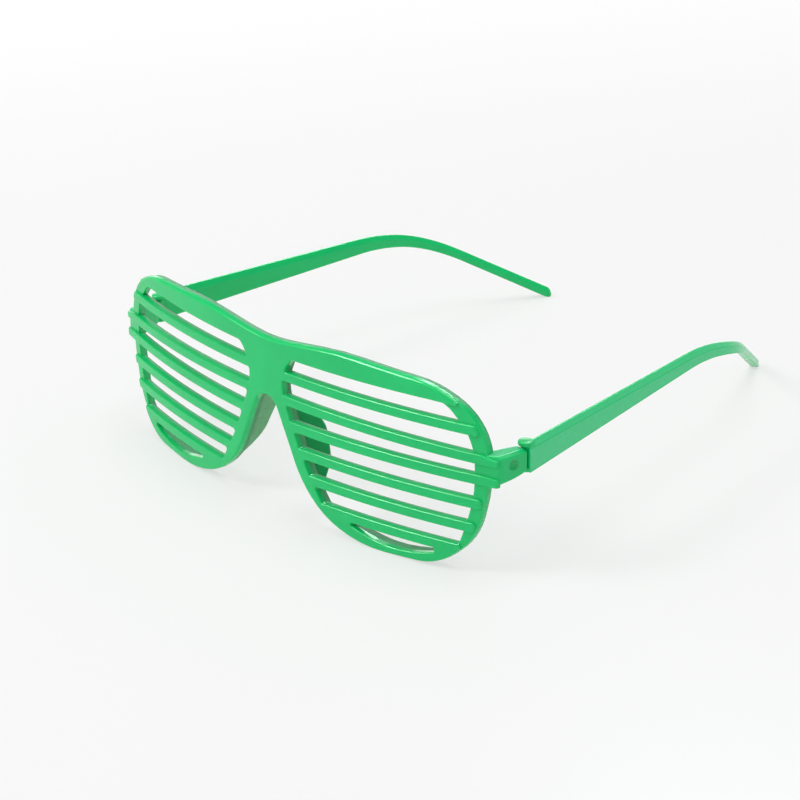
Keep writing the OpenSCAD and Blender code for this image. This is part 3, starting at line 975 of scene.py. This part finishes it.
def block_section(x0, x1, z0, z1, shrink):
    """Points round a lug, with bevelled corners, closely spaced on its outer face"""
    x0, x1, z0, z1 = x0 + shrink, x1 - shrink, z0 + shrink, z1 - shrink
    bevel_x, bevel_z, soft = 1.2 * MM, 0.7 * MM, 0.3 * MM
    pts = [Vector(c) for c in ((x0, z0), (x1, z0), (x1, z1 - bevel_z), (x1 - bevel_x, z1),
                               (x0, z1))]
    radii = [soft, 0.8 * MM, soft, soft, soft]
    spans = [4, 32, 6, 6, 6]
    arcs = [even_fillet(pts[i - 1], b, pts[(i + 1) % 5], radii[i], 4) for i, b in enumerate(pts)]
    out = []
    for i, arc in enumerate(arcs):
        after = arcs[(i + 1) % 5][0]
        out += arc
        out += [arc[-1] + (after - arc[-1]) * k / spans[i] for k in range(1, spans[i])]
    return out


def dimple_share(h, y, z):
    """Distance from the middle of the dimple, in dimple radii"""
    return math.hypot(y - 16.3 * MM, z - ((h.lug_z0 + h.lug_z1) / 2 + 0.4 * MM)) / h.dimple_r


def mark_satin(bm, satin_share):
    """Marks each face with a painted sheen by a share worked out from the way it faces"""
    bmesh.ops.recalc_face_normals(bm, faces=bm.faces[:])
    satin = bm.loops.layers.float.new("satin")
    for face in bm.faces:
        for corner in face.loops:
            corner[satin] = satin_share(face.normal)


def temple_satin(normal, sign):
    """Painted sheen on the outer face and, a little less, on the bevel, with a glossy crease
    between them left unpainted
    """
    upright, bevel_from, bevel_share = 0.15, 0.45, 0.8
    if sign * normal.x < 0.3:
        return 0.0
    return 1.0 if abs(normal.z) < upright else bevel_share * (normal.z > bevel_from)


def mark_dimple(bm, h, sign):
    """Marks a darker ring round the dimple"""
    grime = bm.verts.layers.float.new("grime")
    for v in bm.verts:
        if sign * v.co.x > h.lug_x - 1.6 * MM:
            r = dimple_share(h, v.co.y, v.co.z)
            v[grime] = math.exp(-((r - 1.25) / 0.3) ** 2)


def even_fillet(a, b, c, radius, n):
    """As fillet(), with a set number of steps"""
    sweep = math.pi - (a - b).angle(c - b)
    return fillet(a, b, c, radius, sweep / n * 1.0001)


def dimple(h, y, q):
    """How far the lug's outer face is pressed in at a point"""
    if q.x < h.lug_x - 1.6 * MM:
        return 0
    r = dimple_share(h, y, q.y)
    if r < 1:
        return 0.7 * MM * (1 - r * r) ** 0.5
    return -0.04 * MM * math.exp(-((r - 1.2) / 0.15) ** 2)


class GLASSES_OT_temples(bpy.types.Operator):
    """Build the two temples with their ears"""

    bl_idname = "glasses.temples"
    bl_label = "Temples"

    def execute(self, context):
        t = context.scene.glasses_temples
        h = context.scene.glasses_hinge
        for side, sign in SIDES.items():
            bm = bmesh.new()
            sections = temple_sections(t, h)
            loft(bm, [[Vector((sign * q.x, q.y, q.z)) for q in s] for s in sections])
            # Painted sheen on the temple's outer face and bevel
            mark_satin(bm, lambda normal: temple_satin(normal, sign))
            knuckle_z = h.lug_z1 - h.knuckle_h
            for z in (h.lug_z1 + h.hinge_gap, knuckle_z - h.hinge_gap - h.ear_t):
                disc(bm, (sign * h.hinge_x, h.hinge_y), h.ear_r, z, z + h.ear_t, 0.3 * MM)
            finish_piece(f"{side}_temple_arm", bm, green_plastic(), f"{side}_temple",
                         [f"temple_{side}"])
        return {"FINISHED"}


def temple_edges(t, h):
    """The upper and lower edges of a temple in side view, as functions of y"""
    start = h.lug_end_y + t.temple_gap
    bend_y, low_bend_y = 110 * MM, 110.9 * MM
    end_y = temple_path(t, h, temple_length(t))[0].y
    top_slope, low_slope = 0.027, 0.078
    top = lambda y: t.temple_z + top_slope * (y - start)
    low = lambda y: t.temple_z - t.temple_h + low_slope * (y - start)
    drop = math.tan(t.tip_drop)
    tip_top = top(bend_y) - drop * (end_y - bend_y)
    tip_low = Vector((end_y - t.tip_h * math.sin(t.tip_drop),
                      tip_top - t.tip_h * math.cos(t.tip_drop)))
    step = math.radians(1.5)
    upper = rounded_run([(start, top(start), 0), (bend_y, top(bend_y), 64 * MM),
                         (end_y, tip_top, 0)], step)
    lower = rounded_run([(start, low(start), 0), (low_bend_y, low(low_bend_y), 58 * MM),
                         (tip_low.x, tip_low.y, 0),
                         (end_y + 1e-4, tip_low.y - drop * (end_y - tip_low.x), 0)], step)
    return upper, lower


def height_at(run, y):
    """Height of an open run of points over its first coordinate"""
    for a, b in zip(run, run[1:]):
        if a.x <= y <= b.x:
            return a.y + (b.y - a.y) * (y - a.x) / (b.x - a.x)
    return run[0].y if y < run[0].x else run[-1].y


def temple_length(t):
    return t.straight_l + t.tip_in_r * t.tip_in + t.tip_l


def temple_path(t, h, along):
    """Centre line of a temple in plan: a point and its direction some way along it"""
    start = Vector((t.temple_x - t.temple_t / 2, h.lug_end_y + t.temple_gap))
    arc = t.tip_in_r * t.tip_in
    turn = t.temple_in
    p = start + Vector((-math.sin(turn), math.cos(turn))) * min(along, t.straight_l)
    along -= t.straight_l
    if along > 0:
        swept = min(along, arc) / t.tip_in_r
        p += t.tip_in_r * Vector((math.cos(turn + swept) - math.cos(turn),
                                  math.sin(turn + swept) - math.sin(turn)))
        turn += swept
        if along > arc:
            p += Vector((-math.sin(turn), math.cos(turn))) * (along - arc)
    return p, turn


def temple_sections(t, h):
    """Ridged sections of the left temple, from its squared front end to its rounded tip"""
    upper, lower = temple_edges(t, h)
    whole = temple_length(t) - 0.75 * MM
    stations = [0, 0.06, 0.14, 0.25, 0.4] + [0.4 + 1.35 * i for i in range(1, 400)]
    end_run = 1.2
    stations = [s for s in stations if s * MM < whole - (end_run + 0.2) * MM]
    stations += [whole / MM - end_run * math.cos(math.pi / 2 * i / 8) for i in range(9)]
    out = []
    for s in stations:
        p, turn = temple_path(t, h, s * MM)
        top, low = height_at(upper, p.y), height_at(lower, p.y)
        front = max(0.0, 1 - s / 0.4)
        shrink = 0.35 * MM * (1 - math.sqrt(1 - front * front))
        near = max(0.0, 1 - (whole / MM - s) / end_run)
        close = math.sqrt(max(0.0, 1 - near * near))
        half = (t.temple_t / 2 - shrink) * max(close, 0.25)
        mid = (top + low) / 2
        top, low = (mid + (z - mid) * max(close, 0.25) for z in (top - shrink, low + shrink))
        drop = min(t.ridge_drop, 0.34 * (top - low))
        crown = min(0.5 * MM, half * 0.42)
        rise = 0
        for _ in range(4):
            rise = crown * (1 / math.sin(math.atan2(half, drop + rise)) - 1)
        across = Vector((math.cos(turn), math.sin(turn)))
        pts = [Vector(c) for c in ((-half, low), (half, low), (half, top - drop), (0, top + rise),
                                   (-half, top - drop))]
        section = []
        for i, b in enumerate(pts):
            radius = min(0.45 * MM, half * 0.4) if i < 2 else min(0.8 * MM, half * 0.6)
            radius = crown if i == 3 else radius
            section += even_fillet(pts[i - 1], b, pts[(i + 1) % 5], radius, 8 if i == 3 else 4)
        out.append([Vector((p.x + across.x * q.x, p.y + across.y * q.x, q.y)) for q in section])
    return out


class GLASSES_OT_stage(bpy.types.Operator):
    """Set up the pale floor, the soft studio light and the camera"""

    bl_idname = "glasses.stage"
    bl_label = "Stage"

    def execute(self, context):
        scene = context.scene
        make_floor(scene)
        make_lights(scene)
        make_camera(scene)
        scene.view_settings.view_transform = "Standard"
        return {"FINISHED"}


def make_floor(scene):
    """A wide pale floor; what the camera sees beyond the object's shadow is nearly white"""
    bm = bmesh.new()
    reach = 3.0
    cuts = 12
    bmesh.ops.create_grid(bm, x_segments=cuts, y_segments=cuts, size=reach)
    mesh = bpy.data.meshes.new("floor")
    bm.to_mesh(mesh)
    bm.free()
    floor = bpy.data.objects.new("floor", mesh)
    scene.collection.objects.link(floor)
    material = bpy.data.materials.new("Pale glossy ground")
    material.use_nodes = True
    tree = material.node_tree
    shader = tree.nodes["Principled BSDF"]
    shader.inputs["Base Color"].default_value = colour(scene.glasses_colours.floor)
    shader.inputs["Roughness"].default_value = 0.22
    shader.inputs["Specular IOR Level"].default_value = 0.10
    own_level, own_share = 0.895, 0.65
    white = node(tree, "ShaderNodeEmission", Color=(own_level, own_level, own_level, 1),
                 Strength=1.0)
    mixed = node(tree, "ShaderNodeMixShader")
    share = node(tree, "ShaderNodeMath", _operation="MULTIPLY")
    tree.links.new(seen_ray(tree), share.inputs[0])
    share.inputs[1].default_value = own_share
    tree.links.new(share.outputs[0], mixed.inputs[0])
    tree.links.new(shader.outputs[0], mixed.inputs[1])
    tree.links.new(white.outputs[0], mixed.inputs[2])
    tree.links.new(mixed.outputs[0], tree.nodes["Material Output"].inputs["Surface"])
    mesh.materials.append(material)


def seen_ray(tree):
    """1 for what is seen directly, in a reflection or through something, 0 for light"""
    path = node(tree, "ShaderNodeLightPath")
    value = path.outputs["Is Camera Ray"]
    for name in ("Is Glossy Ray", "Is Transmission Ray"):
        most = node(tree, "ShaderNodeMath", _operation="MAXIMUM")
        tree.links.new(value, most.inputs[0])
        tree.links.new(path.outputs[name], most.inputs[1])
        value = most.outputs[0]
    return value


def make_lights(scene):
    """Even light from all round, a white backdrop below a dark studio, and softboxes"""
    world = bpy.data.worlds.new("Studio")
    world.use_nodes = True
    tree = world.node_tree
    back = tree.nodes["Background"]
    back.inputs["Color"].default_value = (1, 1, 1, 1)
    level = node(tree, "ShaderNodeSeparateXYZ")
    tree.links.new(node(tree, "ShaderNodeTexCoord").outputs["Generated"], level.inputs[0])
    white_up_to, dark_from = 0.22, 0.38
    white, dark, light = 0.92, 0.18, 0.66
    backdrop = remap(tree, level.outputs["Z"], white_up_to, dark_from, white, dark)
    strength = node(tree, "ShaderNodeMix")
    tree.links.new(seen_ray(tree), strength.inputs["Factor"])
    strength.inputs[2].default_value = light
    tree.links.new(backdrop, strength.inputs[3])
    tree.links.new(strength.outputs[0], back.inputs["Strength"])
    scene.world = world
    # name, direction from the glasses, distance, width, height, radiance, whether it only
    # shows in the gloss
    for name, way, far, wide, high, level, gloss in (
        ("Front left softbox", (-0.47, -0.55, 0.65), 1.2, 0.36, 0.36, 12.0, False),
        ("Front left card", (-0.38, -0.6, 0.66), 1.19, 0.42, 0.6, 24.0, True),
        ("Back card", (-0.25, 0.6, 0.77), 1.25, 0.66, 0.36, 22.0, True),
        ("Front fill", (0.5, -0.8, 0.5), 1.3, 1.0, 0.8, 0.3, False),
        ("Overhead softbox", (0.1, 0.1, 1.0), 1.2, 0.6, 0.6, 4.0, False),
        ("Back softbox", (-0.68, 0.71, 0.14), 1.3, 1.2, 0.26, 2.6, False),
    ):
        light = bpy.data.lights.new(name, "AREA")
        light.shape = "RECTANGLE"
        light.size, light.size_y = wide, high
        light.energy = level * math.pi * wide * high
        lamp = bpy.data.objects.new(name, light)
        lamp.visible_diffuse = not gloss
        if gloss:
            light.color = (0.78, 1.0, 0.9)
        lamp.location = Vector(way).normalized() * far
        lamp.rotation_euler = (-lamp.location).to_track_quat("-Z", "Y").to_euler()
        scene.collection.objects.link(lamp)


def make_camera(scene):
    """The viewpoint: turned and raised about the glasses, with a slight roll"""
    azimuth, height, roll = math.radians(48.878), math.radians(25.285), -0.07313
    distance, lens, width = 708.2 * MM, 113.138, 36.0
    aside, up_by = 19.188 * MM, 19.116 * MM
    back = Vector((math.sin(azimuth) * math.cos(height), -math.cos(azimuth) * math.cos(height),
                   math.sin(height)))
    right = Vector((math.cos(azimuth), math.sin(azimuth), 0))
    up = back.cross(right)
    across = math.cos(roll) * right + math.sin(roll) * up
    above = -math.sin(roll) * right + math.cos(roll) * up
    data = bpy.data.cameras.new("Camera")
    data.lens, data.sensor_width = lens, width
    camera = bpy.data.objects.new("Camera", data)
    turn = Matrix((across, above, back)).transposed().to_4x4()
    place = Vector((0, 0, 25 * MM)) + back * distance - across * aside - above * up_by
    camera.matrix_world = Matrix.Translation(place) @ turn
    scene.collection.objects.link(camera)
    scene.camera = camera


class GLASSES_PT_panel(bpy.types.Panel):
    """Builds the glasses piece by piece"""

    bl_idname = "GLASSES_PT_panel"
    bl_label = "Party Glasses"
    bl_space_type = "VIEW_3D"
    bl_region_type = "UI"
    bl_category = "Party Glasses"

    def draw(self, context):
        for operator in STEPS:
            self.layout.operator(operator.bl_idname)
        for group in GROUPS:
            box = self.layout.box()
            sizes = getattr(context.scene, group)
            for name in sizes.__annotations__:
                box.prop(sizes, name)


STEPS = (
    GLASSES_OT_front_rim, GLASSES_OT_front_face, GLASSES_OT_nose_pads, GLASSES_OT_hinge_lugs,
    GLASSES_OT_temples, GLASSES_OT_stage,
)
GROUPS = {
    "glasses_front": GlassesFrontSizes,
    "glasses_hinge": GlassesHingeSizes,
    "glasses_temples": GlassesTempleSizes,
    "glasses_colours": GlassesColours,
}


def register():
    for cls in (*GROUPS.values(), *STEPS, GLASSES_PT_panel):
        bpy.utils.register_class(cls)
    for name, cls in GROUPS.items():
        setattr(bpy.types.Scene, name, bpy.props.PointerProperty(type=cls))


def unregister():
    for name in GROUPS:
        delattr(bpy.types.Scene, name)
    for cls in (GLASSES_PT_panel, *reversed(STEPS), *reversed(list(GROUPS.values()))):
        bpy.utils.unregister_class(cls)


def main():
    register()
    for step in STEPS:
        group, name = step.bl_idname.split(".")
        getattr(getattr(bpy.ops, group), name)()
    bpy.context.view_layer.update()


if __name__ == "__main__":
    main()
